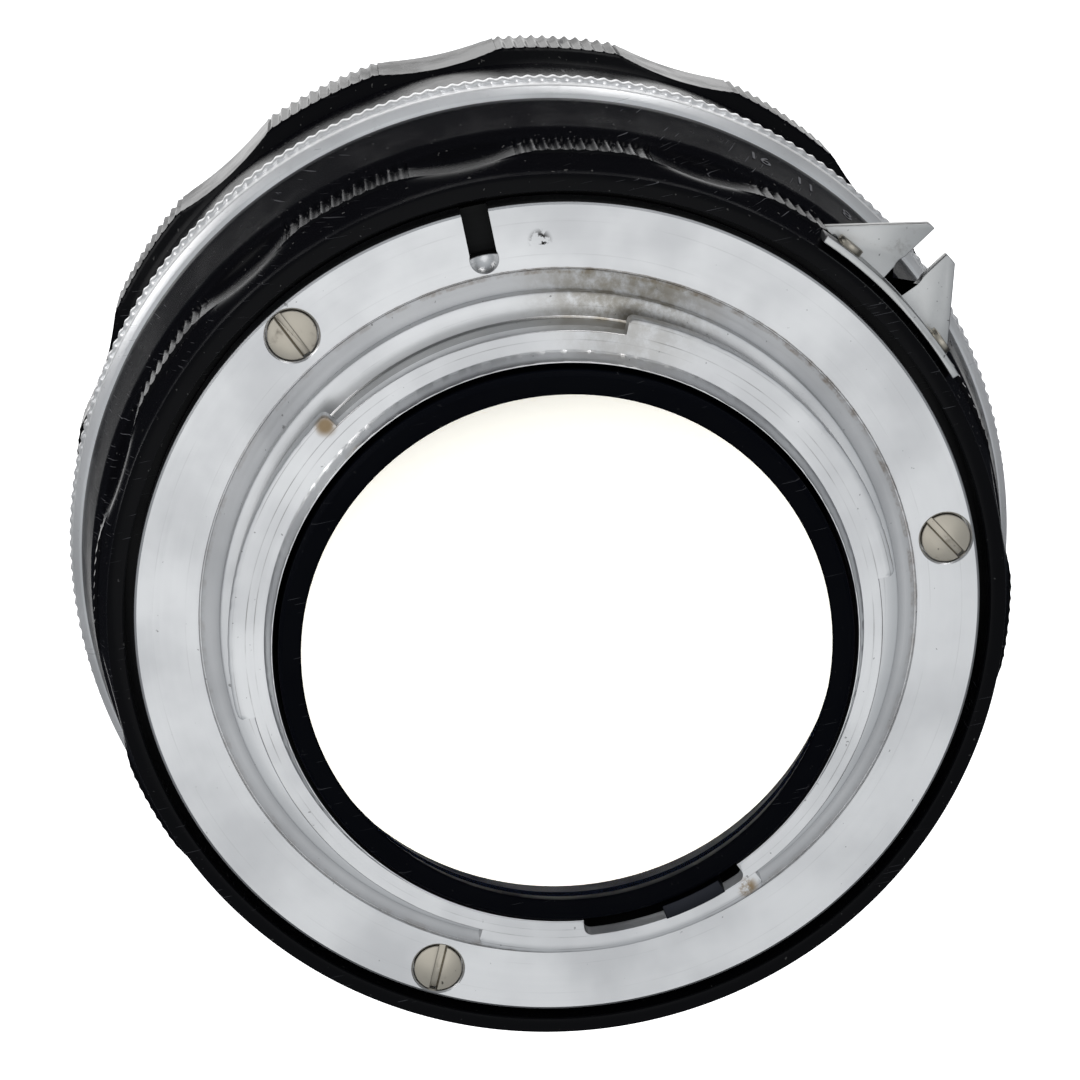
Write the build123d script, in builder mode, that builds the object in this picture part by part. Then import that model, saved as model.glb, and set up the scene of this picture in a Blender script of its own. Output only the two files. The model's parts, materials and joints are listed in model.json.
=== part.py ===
from build123d import *
from math import cos, radians, sin, sqrt
import os

os.makedirs("parts", exist_ok=True)

# Prime camera lens, 55 mm f/1.2 class, seen on the bench standing on its front rim.
# The origin is the centre of the bayonet flange's rear face, on the optical axis.
# +Z is the optical axis towards the camera body, +X passes the lock notch, -Y the index mark.
# Every length is in millimetres and every angle in degrees, counted from +X about +Z.

# ---- driving dimensions -------------------------------------------------------------------
FLANGE_R = 30.25          # bayonet flange, outside
FLANGE_T = 2.6            # bayonet flange, thickness
REGISTER_R = 24.15        # boss that centres the lens in the camera's throat
REGISTER_H = 1.0
STEP_R = 25.55            # fine turned step between the flange face and the boss
BAYONET_R = 22.35         # bayonet tube, outside
BAYONET_TOP = 5.0
LUG_R = 23.5              # bayonet lugs, outside
LUG_T = 1.5
LUG_ARCS = ((-90.5, 68.5), (153.2, 53.1), (33.2, 58.3))     # start and sweep of each lug
LIP_R = 20.9              # bright lip round the throat, at its foot
LIP_TOP = 6.4
THROAT_R = 20.4           # bore of the bayonet
LEVER_SLOT = (172.0, 33.0, 21.6)                            # start, sweep, outer radius
SCREW_PITCH_R = 28.13     # mount screws
SCREW_ANGLES = (30, 150, 270)
SCREW_HEAD_R = 1.75
SCREW_SLOT_ANGLES = (24.2, 335.4, 211.8)                    # how each driver slot was left
LOCK_NOTCH_W = 1.9
LOCK_NOTCH_END_R = 25.68
LOCK_NOTCH_DEEP_R = 27.0

BARREL_BORE_R = 28.6      # main barrel, bore for the sliding inner barrel
BARREL_R = 30.0           # main barrel, journal of the aperture ring
BARREL_REAR_R = 25.86     # main barrel, bore at its rear end
SHOULDER_Z = -16.3        # rear face of the main barrel's shoulder
SHOULDER_R = 33.4
SLEEVE_R = 32.0           # inside of the main barrel's outer sleeve
SLEEVE_FRONT = -31.5
GRIP_RING_EDGE_R = 35.1   # bright ring that is held when the lens is mounted, rear edge
GRIP_RING_R = 35.7        # its smooth rear part
GRIP_SERRATED_R = 36.05   # its serrated front part
GRIP_RING_STEP = -18.4    # where the smooth part ends
GRIP_RING_FRONT = -19.8

RING_RIM_R = 32.15        # aperture ring, rear rim
RING_LAND_R = 33.3        # aperture ring, knurled lands
RING_VALLEY_R = 32.4      # aperture ring, bottom of the scallops between the lands
RING_FLARE_R = 33.75      # aperture ring, rear end of the smooth skirt
RING_SKIRT_R = 34.9       # aperture ring, front end of the skirt
RING_GROOVE_R = 30.95     # aperture ring, rear counterbore round the flange
RING_FRONT = -15.9
LAND_START = 15.2         # first land's centre, on both knurled rings
LANDS = 12

FOCUS_BAND_R = 35.3       # focusing ring, scale band
FOCUS_GRIP_R = 36.5       # focusing ring, lands of the grip
FOCUS_VALLEY_R = 35.65    # focusing ring, bottom of the scallops between the lands
FOCUS_BORE_R = 33.7
FOCUS_REAR = -20.1
FOCUS_BAND_FRONT = -30.4  # where the scale band ends and the lands rise
FOCUS_FRONT = -38.2
INNER_R = 28.54           # inner barrel that carries the glass
INNER_BORE_R = 27.0

FRONT_RIM_Z = -47.0
FILTER_THREAD_R = 25.6    # minor radius of an M52 x 0.75 filter thread
FRONT_BARREL_R = 33.4

REAR_CELL_R = 20.0
REAR_CELL_REAR = 5.3      # rear face of the cell, under the baffle
REAR_BORE_R = 19.5        # seat of the two rear elements
REAR_LEDGE_R = 18.95
REAR_CELL_TOP = 7.4
CLEAR_REAR_R = 18.4       # clear radius of the rear glass

BLADES = 7
BLADE_T = 0.09
BLADE_PITCH = 0.15        # axial distance from one blade to the next
BLADE_TOP = -17.2
BLADE_PIVOT_R = 25.6
BLADE_INNER_R = 19.6
BLADE_OUTER_R = 24.7
FIT = 0.06                # radial clearance of a running fit
BIG_SCREW_R = 0.7         # radial screws and pins, M1.4
SMALL_SCREW_R = 0.6       # radial screws, M1.2
SCREW_GAP = 0.02          # radial gap of a screw in its hole

CAM_ARM_ANGLE = 120       # middle of the cam ring's arm and of the fork that drives it
CAM_ARM_R = (22.6, 24.0)
LEVER_ANGLE = 194.2       # middle of the stop-down lever
LEVER_HALF_SWEEP = 6.2


# ---- shared operations --------------------------------------------------------------------
def turn(*outline, mode=Mode.ADD):
    """Turn a closed half section, given as (radius, z) points, about the optical axis."""
    with BuildSketch(Plane.XZ) as section:
        with BuildLine():
            Polyline(*outline, close=True)
        make_face()
    revolve(section.sketch, axis=Axis.Z, mode=mode)


def tube(r_in, r_out, z_low, z_high, mode=Mode.ADD):
    """Turn a plain ring with square edges."""
    turn((r_in, z_low), (r_out, z_low), (r_out, z_high), (r_in, z_high), mode=mode)


def sector(r_in, r_out, start, arc_sweep, z_low, z_high, mode=Mode.ADD):
    """Raise a ring segment from z_low to z_high."""
    with BuildSketch(Plane.XY.offset(z_low)) as arc:
        with BuildLine():
            outer = CenterArc((0, 0), r_out, start, arc_sweep)
            inner = CenterArc((0, 0), r_in, start, arc_sweep)
            Line(outer @ 0, inner @ 0)
            Line(outer @ 1, inner @ 1)
        make_face()
    extrude(arc.sketch, amount=z_high - z_low, mode=mode)


def radial_plane(angle, radius, z):
    """A plane whose normal points outwards at this angle, with its x along the optical axis."""
    outwards = (cos(radians(angle)), sin(radians(angle)), 0)
    origin = (radius * outwards[0], radius * outwards[1], z)
    return Plane(origin=origin, x_dir=(0, 0, 1), z_dir=outwards)


def radial_rod(angle, z, r, r_low, r_high, mode=Mode.ADD):
    """A round rod or hole that points at the optical axis."""
    with BuildSketch(radial_plane(angle, r_low, z)) as disc:
        Circle(r)
    extrude(disc.sketch, amount=r_high - r_low, mode=mode)


def axial_rods(places, r, z_low, z_high, mode=Mode.ADD):
    """Round rods or holes along the optical axis, at (radius, angle) places."""
    with BuildSketch(Plane.XY.offset(z_low)) as discs:
        for radius, angle in places:
            with PolarLocations(radius, 1, start_angle=angle):
                Circle(r)
    extrude(discs.sketch, amount=z_high - z_low, mode=mode)


def scallop(land_r, valley_r, half_sweep, z_low, z_high):
    """Cut the concave valleys between the lands of a grip, as flutes along the axis."""
    chord = land_r * sin(radians(half_sweep))
    rise = land_r * cos(radians(half_sweep)) - valley_r
    flute_r = (chord**2 + rise**2) / (2 * rise)
    with BuildSketch(Plane.XY.offset(z_low)) as flutes:
        with PolarLocations(valley_r + flute_r, LANDS, start_angle=LAND_START + 180 / LANDS):
            Circle(flute_r)
    extrude(flutes.sketch, amount=z_high - z_low, mode=Mode.SUBTRACT)


def screw_places(radius, angles):
    return [(radius, angle) for angle in angles]


def polar(radius, angle):
    """The point at this radius and angle."""
    return (radius * cos(radians(angle)), radius * sin(radians(angle)))


pieces = []


def finish(builder, label):
    """Label a finished piece and keep it for export."""
    builder.part.label = label
    pieces.append(builder.part)


# ---- bayonet mount ------------------------------------------------------------------------
with BuildPart() as bayonet_mount:
    turn(
        (THROAT_R, -FLANGE_T), (FLANGE_R, -FLANGE_T), (FLANGE_R, -0.25), (FLANGE_R - 0.25, 0),
        (STEP_R + 0.05, 0), (STEP_R + 0.05, -0.3), (STEP_R - 0.05, -0.3), (STEP_R - 0.05, -0.12),
        (REGISTER_R + 0.05, -0.12), (REGISTER_R, -0.12), (REGISTER_R, REGISTER_H - 0.1),
        (REGISTER_R - 0.1, REGISTER_H), (BAYONET_R, REGISTER_H), (BAYONET_R, BAYONET_TOP - 0.1),
        (BAYONET_R - 0.1, BAYONET_TOP), (LIP_R, BAYONET_TOP), (LIP_R - 0.4, LIP_TOP), (THROAT_R, LIP_TOP),
    )
    for lug_start, lug_sweep in LUG_ARCS:
        sector(BAYONET_R - 0.3, LUG_R, lug_start, lug_sweep, BAYONET_TOP - LUG_T, BAYONET_TOP)
    # arc slot for the stop-down lever, cut out of the throat
    slot_start, slot_sweep, slot_r = LEVER_SLOT
    sector(THROAT_R - 1, slot_r, slot_start, slot_sweep, -FLANGE_T - 1, LIP_TOP + 1, Mode.SUBTRACT)
    # notch that takes the camera's lock pin: a deep channel with a shallow round end
    with BuildSketch(Plane.XY):
        with Locations((FLANGE_R, 0)):
            Rectangle(2 * (FLANGE_R - LOCK_NOTCH_DEEP_R), LOCK_NOTCH_W)
    extrude(amount=-1.9, mode=Mode.SUBTRACT)
    with BuildSketch(Plane.XY):
        with Locations((LOCK_NOTCH_END_R + LOCK_NOTCH_W / 2 + 0.15, 0)):
            Circle(LOCK_NOTCH_W / 2 + 0.15)
    extrude(amount=-0.55, mode=Mode.SUBTRACT)
    # counterbored holes of the mount screws
    axial_rods(screw_places(SCREW_PITCH_R, SCREW_ANGLES), SCREW_HEAD_R + 0.1, -1.3, 0.5, Mode.SUBTRACT)
    axial_rods(screw_places(SCREW_PITCH_R, SCREW_ANGLES), 1.0, -FLANGE_T - 1, 0, Mode.SUBTRACT)
finish(bayonet_mount, "bayonet_mount")

with BuildPart() as mount_screws:
    axial_rods(screw_places(SCREW_PITCH_R, SCREW_ANGLES), SCREW_HEAD_R, -1.3, -0.05)
    axial_rods(screw_places(SCREW_PITCH_R, SCREW_ANGLES), 0.85, -5.2, -1.3)
    for angle, slot_angle in zip(SCREW_ANGLES, SCREW_SLOT_ANGLES):
        with BuildSketch(Plane.XY.offset(-0.05)):
            with Locations(Location((*polar(SCREW_PITCH_R, angle), 0), (0, 0, slot_angle))):
                Rectangle(2.2 * SCREW_HEAD_R, 0.55)
        extrude(amount=-0.55, mode=Mode.SUBTRACT)
finish(mount_screws, "mount_screws")


# ---- main barrel, fixed to the mount ------------------------------------------------------
KEY_ANGLES = (0, 180)
KEY_Z = -18.6             # middle of the guide keys
GRIP_SCREW_ANGLES = (60, 180, 300)
GRIP_SCREW_Z = -17.5
INDEX_ANGLE = 270
INDEX_Z = -17.6
INDEX_SEAT_R = 34.2
DRIVER_SLOT_W = 0.3       # driver slot of a radial screw
CLICK_ANGLE = 20
CLICK_R = 31.5
CLICK_BALL_R = 0.8
DRIVE_PIN_ANGLE = 200
DRIVE_PIN_Z = -7.3
DRIVE_PIN_END_R = 31.8
RING_TURN = 52            # travel of the aperture ring

with BuildPart() as main_barrel:
    turn(
        (BARREL_REAR_R, -FLANGE_T), (BARREL_R, -FLANGE_T), (BARREL_R, SHOULDER_Z), (SHOULDER_R, SHOULDER_Z),
        (SHOULDER_R, SLEEVE_FRONT), (SLEEVE_R, SLEEVE_FRONT), (SLEEVE_R, -18.3), (BARREL_R, -18.3),
        (BARREL_R, -30.0), (BARREL_BORE_R, -30.0), (BARREL_BORE_R, -5.6), (BARREL_REAR_R, -5.6),
    )
    axial_rods(screw_places(SCREW_PITCH_R, SCREW_ANGLES), 0.87, -5.4, -FLANGE_T + 1, Mode.SUBTRACT)
    axial_rods([(CLICK_R, CLICK_ANGLE)], CLICK_BALL_R + FIT, -18.0, SHOULDER_Z + 1, Mode.SUBTRACT)
    # window through which the aperture ring's drive pin reaches inside
    window_start = DRIVE_PIN_ANGLE - RING_TURN - 3
    sector(
        BARREL_BORE_R - 1, BARREL_R + 1, window_start, RING_TURN + 6,
        DRIVE_PIN_Z - BIG_SCREW_R - 0.2, DRIVE_PIN_Z + BIG_SCREW_R + 0.2, Mode.SUBTRACT,
    )
    for angle in KEY_ANGLES:
        radial_rod(angle, KEY_Z, BIG_SCREW_R + SCREW_GAP, BARREL_BORE_R - 1, BARREL_R + 0.5, Mode.SUBTRACT)
    for angle in GRIP_SCREW_ANGLES:
        radial_rod(angle, GRIP_SCREW_Z, BIG_SCREW_R + SCREW_GAP, 32.3, SHOULDER_R + 1, Mode.SUBTRACT)
finish(main_barrel, "main_barrel")

with BuildPart() as guide_keys:
    for angle in KEY_ANGLES:
        sector(27.15, BARREL_BORE_R, angle - 4.0, 8.0, KEY_Z - 1.4, KEY_Z + 1.4)
        radial_rod(angle, KEY_Z, BIG_SCREW_R + SCREW_GAP, 26.5, BARREL_BORE_R + 1, Mode.SUBTRACT)
finish(guide_keys, "guide_keys")

with BuildPart() as key_screws:
    for angle in KEY_ANGLES:
        radial_rod(angle, KEY_Z, BIG_SCREW_R, 27.4, BARREL_R - 0.2)
finish(key_screws, "key_screws")

with BuildPart() as grip_ring:
    turn(
        (SHOULDER_R, SHOULDER_Z), (GRIP_RING_EDGE_R, SHOULDER_Z), (GRIP_RING_R, SHOULDER_Z - 0.5),
        (GRIP_RING_R, GRIP_RING_STEP), (GRIP_SERRATED_R, GRIP_RING_STEP - 0.2),
        (GRIP_SERRATED_R, GRIP_RING_FRONT + 0.15), (GRIP_SERRATED_R - 0.15, GRIP_RING_FRONT),
        (SHOULDER_R, GRIP_RING_FRONT),
    )
    for angle in GRIP_SCREW_ANGLES:
        radial_rod(
            angle, GRIP_SCREW_Z, BIG_SCREW_R + SCREW_GAP, SHOULDER_R - 1, GRIP_RING_R + 1, Mode.SUBTRACT,
        )
    radial_rod(
        INDEX_ANGLE, INDEX_Z, SMALL_SCREW_R + SCREW_GAP, INDEX_SEAT_R, GRIP_RING_R + 1, Mode.SUBTRACT,
    )
finish(grip_ring, "grip_ring")

with BuildPart() as grip_ring_screws:
    for angle in GRIP_SCREW_ANGLES:
        radial_rod(angle, GRIP_SCREW_Z, BIG_SCREW_R, 32.4, GRIP_RING_R - 0.15)
        with BuildSketch(radial_plane(angle, GRIP_RING_R - 0.15, GRIP_SCREW_Z)):
            Rectangle(DRIVER_SLOT_W, 3 * BIG_SCREW_R)
        extrude(amount=-0.5, mode=Mode.SUBTRACT)
finish(grip_ring_screws, "grip_ring_screws")

with BuildPart() as index_pin:
    radial_rod(INDEX_ANGLE, INDEX_Z, SMALL_SCREW_R, INDEX_SEAT_R, GRIP_RING_R - 0.02)
finish(index_pin, "index_pin")

with BuildPart() as click_ball:
    with Locations((*polar(CLICK_R, CLICK_ANGLE), -16.5)):
        Sphere(CLICK_BALL_R)
finish(click_ball, "click_ball")

with BuildPart() as click_spring:
    with BuildLine() as coil:
        Helix(pitch=0.2, height=0.4, radius=0.6, center=(*polar(CLICK_R, CLICK_ANGLE), -17.8))
    with BuildSketch(Plane(origin=coil.line @ 0, z_dir=coil.line % 0)):
        Circle(0.06)
    sweep(path=coil.line, is_frenet=True)
finish(click_spring, "click_spring")


# ---- stop-down lever ring, inside the mount -----------------------------------------------
RING_TOP = -3.4
LEVER_RING_T = 1.0
LEVER_TOP = 7.3

with BuildPart() as stop_lever:
    tube(21.4, BARREL_REAR_R - FIT, RING_TOP - LEVER_RING_T, RING_TOP)
    lever_start = LEVER_ANGLE - LEVER_HALF_SWEEP
    sector(20.25, 21.8, lever_start, 2 * LEVER_HALF_SWEEP, RING_TOP - LEVER_RING_T, RING_TOP)
    sector(20.25, 21.3, lever_start, 2 * LEVER_HALF_SWEEP, RING_TOP, LEVER_TOP)
    # fork that drives the arm of the iris cam ring
    for side in (-1, 1):
        tine = CAM_ARM_ANGLE + side * 4.9
        sector(*CAM_ARM_R, tine - 1.5, 3.0, -14.0, RING_TOP - LEVER_RING_T)
    # post that the spring pushes against
    sector(22.6, 24.0, 60, 3, -8.0, RING_TOP - LEVER_RING_T)
finish(stop_lever, "stop_lever")

with BuildPart() as lever_retainer:
    tube(24.4, BARREL_REAR_R, -5.3, -4.7)
    sector(24.0, 27.0, -6, 12, -5.4, -4.6, Mode.SUBTRACT)
finish(lever_retainer, "lever_retainer")

with BuildPart() as spring_post:
    sector(22.6, 28.4, 90, 4, -8.4, -5.6)
finish(spring_post, "spring_post")

SPRING_R = 23.3
SPRING_Z = -7.0
spring_foot = Vector(SPRING_R, 0, SPRING_Z).rotate(Axis.Z, 64.0)
spring_head = Vector(SPRING_R, 0, SPRING_Z).rotate(Axis.Z, 89.0)
spring_axis = spring_head - spring_foot
with BuildPart() as stop_spring:
    with BuildLine() as coil:
        Helix(pitch=1.1, height=spring_axis.length, radius=0.85, center=spring_foot, direction=spring_axis)
    with BuildSketch(Plane(origin=coil.line @ 0, z_dir=coil.line % 0)):
        Circle(0.14)
    sweep(path=coil.line, is_frenet=True)
finish(stop_spring, "stop_spring")


# ---- aperture ring and the meter prong that it carries ------------------------------------
PRONG_START = -70.1
PRONG_SWEEP = 24.5
PRONG_MIDDLE = -57.65     # middle of the notch between the two ears
PRONG_FACE_R = 32.6       # seat of the prong on the aperture ring
PRONG_R = 33.15           # outside of the prong's base plate
PRONG_SCREW_ANGLES = (PRONG_START + 4, PRONG_START + PRONG_SWEEP - 4)
PRONG_SCREW_Z = -3.2
PRONG_SCREW_HEAD_H = 0.45
EAR_Z = -5.4
EAR_T = 0.9

with BuildPart() as aperture_ring:
    turn(
        (BARREL_R + FIT, -3.0), (RING_GROOVE_R, -3.0), (RING_GROOVE_R, 0), (RING_RIM_R - 0.2, 0),
        (RING_RIM_R, -0.25), (RING_RIM_R, -1.2), (RING_LAND_R, -3.6), (RING_LAND_R, -7.8),
        (RING_FLARE_R, -9.3), (RING_SKIRT_R, RING_FRONT + 0.4), (RING_SKIRT_R, RING_FRONT),
        (BARREL_R + FIT, RING_FRONT),
    )
    scallop(RING_LAND_R, RING_VALLEY_R, 7.5, -8.6, -1.0)
    # seat of the meter prong, and its two screws
    sector(PRONG_FACE_R, 36, PRONG_START, PRONG_SWEEP, -6.6, -0.9, Mode.SUBTRACT)
    for angle in PRONG_SCREW_ANGLES:
        radial_rod(angle, PRONG_SCREW_Z, SMALL_SCREW_R + SCREW_GAP, 31.4, 34, Mode.SUBTRACT)
    radial_rod(
        DRIVE_PIN_ANGLE, DRIVE_PIN_Z, BIG_SCREW_R + SCREW_GAP,
        BARREL_R - 1, DRIVE_PIN_END_R + 0.05, Mode.SUBTRACT,
    )
    # track of the click ball, with a dimple at each stop
    tube(CLICK_R - 0.9, CLICK_R + 0.9, RING_FRONT, RING_FRONT + 0.5, Mode.SUBTRACT)
    with BuildSketch(Plane.XY.offset(RING_FRONT)):
        with PolarLocations(CLICK_R, 9, start_angle=CLICK_ANGLE, angular_range=RING_TURN + 4):
            Circle(0.6)
    extrude(amount=0.9, mode=Mode.SUBTRACT)
finish(aperture_ring, "aperture_ring")


with BuildPart() as meter_prong:
    sector(PRONG_FACE_R, PRONG_R, PRONG_START + 0.1, PRONG_SWEEP - 0.2, -6.4, -1.0)
    # two ears in one flat plate, with a round-bottomed notch between them
    with BuildSketch(Plane.XY.offset(EAR_Z)):
        with BuildLine():
            Polyline(
                polar(32.6, PRONG_START + 23.5), polar(33.3, PRONG_START + 23.9),
                polar(38.15, PRONG_MIDDLE + 2.3), polar(38.15, PRONG_MIDDLE + 1.5),
                polar(33.2, PRONG_MIDDLE + 1.5), polar(33.2, PRONG_MIDDLE - 1.5),
                polar(37.55, PRONG_MIDDLE - 1.5), polar(37.55, PRONG_MIDDLE - 2.9),
                polar(33.3, PRONG_START + 1.3), polar(32.6, PRONG_START + 1.5),
                close=True,
            )
        make_face()
        with Locations(polar(34.75, PRONG_MIDDLE)):
            Circle(1.1, mode=Mode.SUBTRACT)
        with Locations(Location((*polar(37.75, PRONG_MIDDLE), 0), (0, 0, PRONG_MIDDLE))):
            Rectangle(6, 2.0, mode=Mode.SUBTRACT)
    extrude(amount=EAR_T)
    tube(PRONG_FACE_R - 3, PRONG_FACE_R, -7, 0, Mode.SUBTRACT)
    for angle in PRONG_SCREW_ANGLES:
        radial_rod(angle, PRONG_SCREW_Z, SMALL_SCREW_R + SCREW_GAP, 31.4, 34, Mode.SUBTRACT)
finish(meter_prong, "meter_prong")

with BuildPart() as prong_screws:
    for angle in PRONG_SCREW_ANGLES:
        radial_rod(angle, PRONG_SCREW_Z, SMALL_SCREW_R, 31.5, PRONG_R)
        radial_rod(angle, PRONG_SCREW_Z, 1.0, PRONG_R, PRONG_R + PRONG_SCREW_HEAD_H)
        with BuildSketch(radial_plane(angle, PRONG_R + PRONG_SCREW_HEAD_H, PRONG_SCREW_Z)):
            Rectangle(DRIVER_SLOT_W, 3)
        extrude(amount=-0.25, mode=Mode.SUBTRACT)
finish(prong_screws, "prong_screws")

with BuildPart() as drive_pin:
    radial_rod(DRIVE_PIN_ANGLE, DRIVE_PIN_Z, BIG_SCREW_R, 26.0, DRIVE_PIN_END_R)
finish(drive_pin, "drive_pin")


# ---- focusing ring and its helicoid -------------------------------------------------------
HELICOID_R = 31.7         # threaded sleeve, outside
HELICOID_STEP = -32.7     # where its bore narrows to the inner barrel
HELICOID_FRONT = -34.3
FOCUS_STEP = -32.4        # where the focusing ring closes on the sleeve
FOCUS_SCREW_ANGLES = (0, 120, 240)
FOCUS_SCREW_Z = -33.3
FOCUS_SCREW_END_R = 35.3

with BuildPart() as focus_ring:
    turn(
        (FOCUS_BORE_R, FOCUS_REAR), (FOCUS_BAND_R - 0.2, FOCUS_REAR), (FOCUS_BAND_R, FOCUS_REAR - 0.2),
        (FOCUS_BAND_R, FOCUS_BAND_FRONT), (FOCUS_GRIP_R, FOCUS_BAND_FRONT - 0.8),
        (FOCUS_GRIP_R, FOCUS_FRONT + 0.4), (FOCUS_GRIP_R - 0.4, FOCUS_FRONT), (FOCUS_BORE_R, FOCUS_FRONT),
        (FOCUS_BORE_R, HELICOID_FRONT), (HELICOID_R, HELICOID_FRONT), (HELICOID_R, FOCUS_STEP),
        (FOCUS_BORE_R, FOCUS_STEP),
    )
    scallop(FOCUS_GRIP_R, FOCUS_VALLEY_R, 7.0, FOCUS_FRONT - 0.2, FOCUS_BAND_FRONT + 0.2)
    for angle in FOCUS_SCREW_ANGLES:
        radial_rod(angle, FOCUS_SCREW_Z, SMALL_SCREW_R + SCREW_GAP, 31, 38, Mode.SUBTRACT)
finish(focus_ring, "focus_ring")

with BuildPart() as focus_helicoid:
    turn(
        (BARREL_R + FIT, -19.2), (HELICOID_R, -19.2), (HELICOID_R, HELICOID_FRONT),
        (INNER_R + FIT, HELICOID_FRONT), (INNER_R + FIT, HELICOID_STEP), (BARREL_R + FIT, HELICOID_STEP),
    )
    for angle in FOCUS_SCREW_ANGLES:
        radial_rod(angle, FOCUS_SCREW_Z, SMALL_SCREW_R + SCREW_GAP, 30.4, 32, Mode.SUBTRACT)
finish(focus_helicoid, "focus_helicoid")

with BuildPart() as focus_ring_screws:
    for angle in FOCUS_SCREW_ANGLES:
        radial_rod(angle, FOCUS_SCREW_Z, SMALL_SCREW_R, 30.5, FOCUS_SCREW_END_R)
        with BuildSketch(radial_plane(angle, FOCUS_SCREW_END_R, FOCUS_SCREW_Z)):
            Rectangle(DRIVER_SLOT_W, 3 * SMALL_SCREW_R)
        extrude(amount=-0.4, mode=Mode.SUBTRACT)
finish(focus_ring_screws, "focus_ring_screws")


# ---- inner barrel that carries the optics -------------------------------------------------
WEB_REAR = -14.4
WEB_FRONT = -15.6
WEB_BORE_R = 21.0
CAM_TURN = 15.0           # travel of the iris cam ring and of the stop-down lever
EXTENSION = 6.2           # forward travel of the optics from infinity to the near limit

with BuildPart() as inner_barrel:
    turn(
        (INNER_BORE_R, -9.0), (INNER_R, -9.0), (INNER_R, -31.2), (29.9, -31.2), (29.9, -32.4),
        (INNER_R, -32.4), (INNER_R, -40.0), (INNER_BORE_R, -40.0), (INNER_BORE_R, WEB_FRONT),
        (WEB_BORE_R, WEB_FRONT), (WEB_BORE_R, WEB_REAR), (INNER_BORE_R, WEB_REAR),
    )
    # keyways that let it slide but not turn
    for angle in KEY_ANGLES:
        sector(
            INNER_BORE_R - 0.1, INNER_R + 1, angle - 4.2, 8.4,
            KEY_Z - 1.8, KEY_Z + EXTENSION + 1.8, Mode.SUBTRACT,
        )
    # arc window in the web for the cam ring's arm
    window_start = CAM_ARM_ANGLE - CAM_TURN - 4.5
    sector(22.4, 24.2, window_start, CAM_TURN + 9, WEB_FRONT - 1, WEB_REAR + 1, Mode.SUBTRACT)
finish(inner_barrel, "inner_barrel")

with BuildPart() as front_barrel:
    turn(
        (INNER_R, -34.6), (FRONT_BARREL_R - 0.3, -34.6), (FRONT_BARREL_R, -34.9), (FRONT_BARREL_R, -38.9),
        (32.7, -39.5), (29.0, -45.6), (28.8, FRONT_RIM_Z), (25.9, FRONT_RIM_Z), (FILTER_THREAD_R, -46.7),
        (FILTER_THREAD_R, -42.6), (INNER_BORE_R, -42.6), (INNER_BORE_R, -40.0), (INNER_R, -40.0),
    )
finish(front_barrel, "front_barrel")

with BuildPart() as iris_cam:
    tube(20.0, INNER_BORE_R - FIT, -16.9, -15.9)
    sector(*CAM_ARM_R, CAM_ARM_ANGLE - 3, 6, -15.9, -7.4)
    # cam slots: each runs outwards as it goes round
    with BuildSketch(Plane.XY.offset(-17.4)):
        for blade in range(BLADES):
            turn_angle = blade * 360 / BLADES
            with BuildLine():
                Polyline(
                    polar(21.2, turn_angle - 14.3), polar(25.4, turn_angle + 1.2),
                    polar(25.4, turn_angle + 4.2), polar(21.2, turn_angle - 11.3),
                    close=True,
                )
            make_face()
    extrude(amount=2, mode=Mode.SUBTRACT)
finish(iris_cam, "iris_cam")

with BuildPart() as iris_base:
    tube(BLADE_INNER_R, INNER_BORE_R, -19.4, -18.4)
    blade_places = [(BLADE_PIVOT_R, blade * 360 / BLADES) for blade in range(BLADES)]
    axial_rods(blade_places, 0.5 + FIT, -20, -18, Mode.SUBTRACT)
finish(iris_base, "iris_base")


def iris_blade(number):
    """A thin crescent that swings about a stud at its outer end."""
    angle = (number - 1) * 360 / BLADES
    top = BLADE_TOP - (number - 1) * BLADE_PITCH
    with BuildPart() as blade:
        sector(BLADE_INNER_R + 0.1, BLADE_OUTER_R, angle - 3, 118, top - BLADE_T, top)
        sector(BLADE_OUTER_R - 1.5, BLADE_PIVOT_R, angle - 2, 4, top - BLADE_T, top)
        axial_rods([(BLADE_PIVOT_R, angle)], 0.95, top - BLADE_T, top)
        axial_rods([(BLADE_PIVOT_R, angle)], 0.5, -19.1, top - BLADE_T / 2)
    finish(blade, f"iris_blade_{number}")


for blade_number in range(1, BLADES + 1):
    iris_blade(blade_number)


# ---- rear cell ----------------------------------------------------------------------------
with BuildPart() as rear_cell:
    turn(
        (REAR_BORE_R, REAR_CELL_REAR), (REAR_CELL_R, REAR_CELL_REAR), (REAR_CELL_R, -12.6), (22.1, -12.6),
        (22.1, WEB_REAR), (WEB_BORE_R, WEB_REAR), (WEB_BORE_R, -15.5), (18.9, -15.5), (18.9, -14.8),
        (19.25, -14.8), (19.25, -5.3), (REAR_LEDGE_R, -5.3), (REAR_LEDGE_R, -4.6), (REAR_BORE_R, -4.6),
    )
finish(rear_cell, "rear_cell")

with BuildPart() as rear_baffle:
    turn(
        (REAR_LEDGE_R, REAR_CELL_REAR), (REAR_CELL_R, REAR_CELL_REAR), (REAR_CELL_R, REAR_CELL_TOP - 0.3),
        (REAR_CELL_R - 0.3, REAR_CELL_TOP), (CLEAR_REAR_R + 0.15, REAR_CELL_TOP),
        (CLEAR_REAR_R, REAR_CELL_TOP - 0.15),
    )
finish(rear_baffle, "rear_baffle")

with BuildPart() as rear_spacer:
    tube(REAR_LEDGE_R, REAR_BORE_R, -0.2, 3.5)
finish(rear_spacer, "rear_spacer")


# ---- front cell and name ring -------------------------------------------------------------
with BuildPart() as front_cell:
    turn(
        (19.3, -19.4), (INNER_BORE_R, -19.4), (INNER_BORE_R, -40.0), (25.5, -40.0), (25.5, -37.6),
        (24.0, -37.6), (24.0, -32.4), (20.6, -32.4), (20.6, -20.6), (19.3, -20.6),
    )
finish(front_cell, "front_cell")

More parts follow.
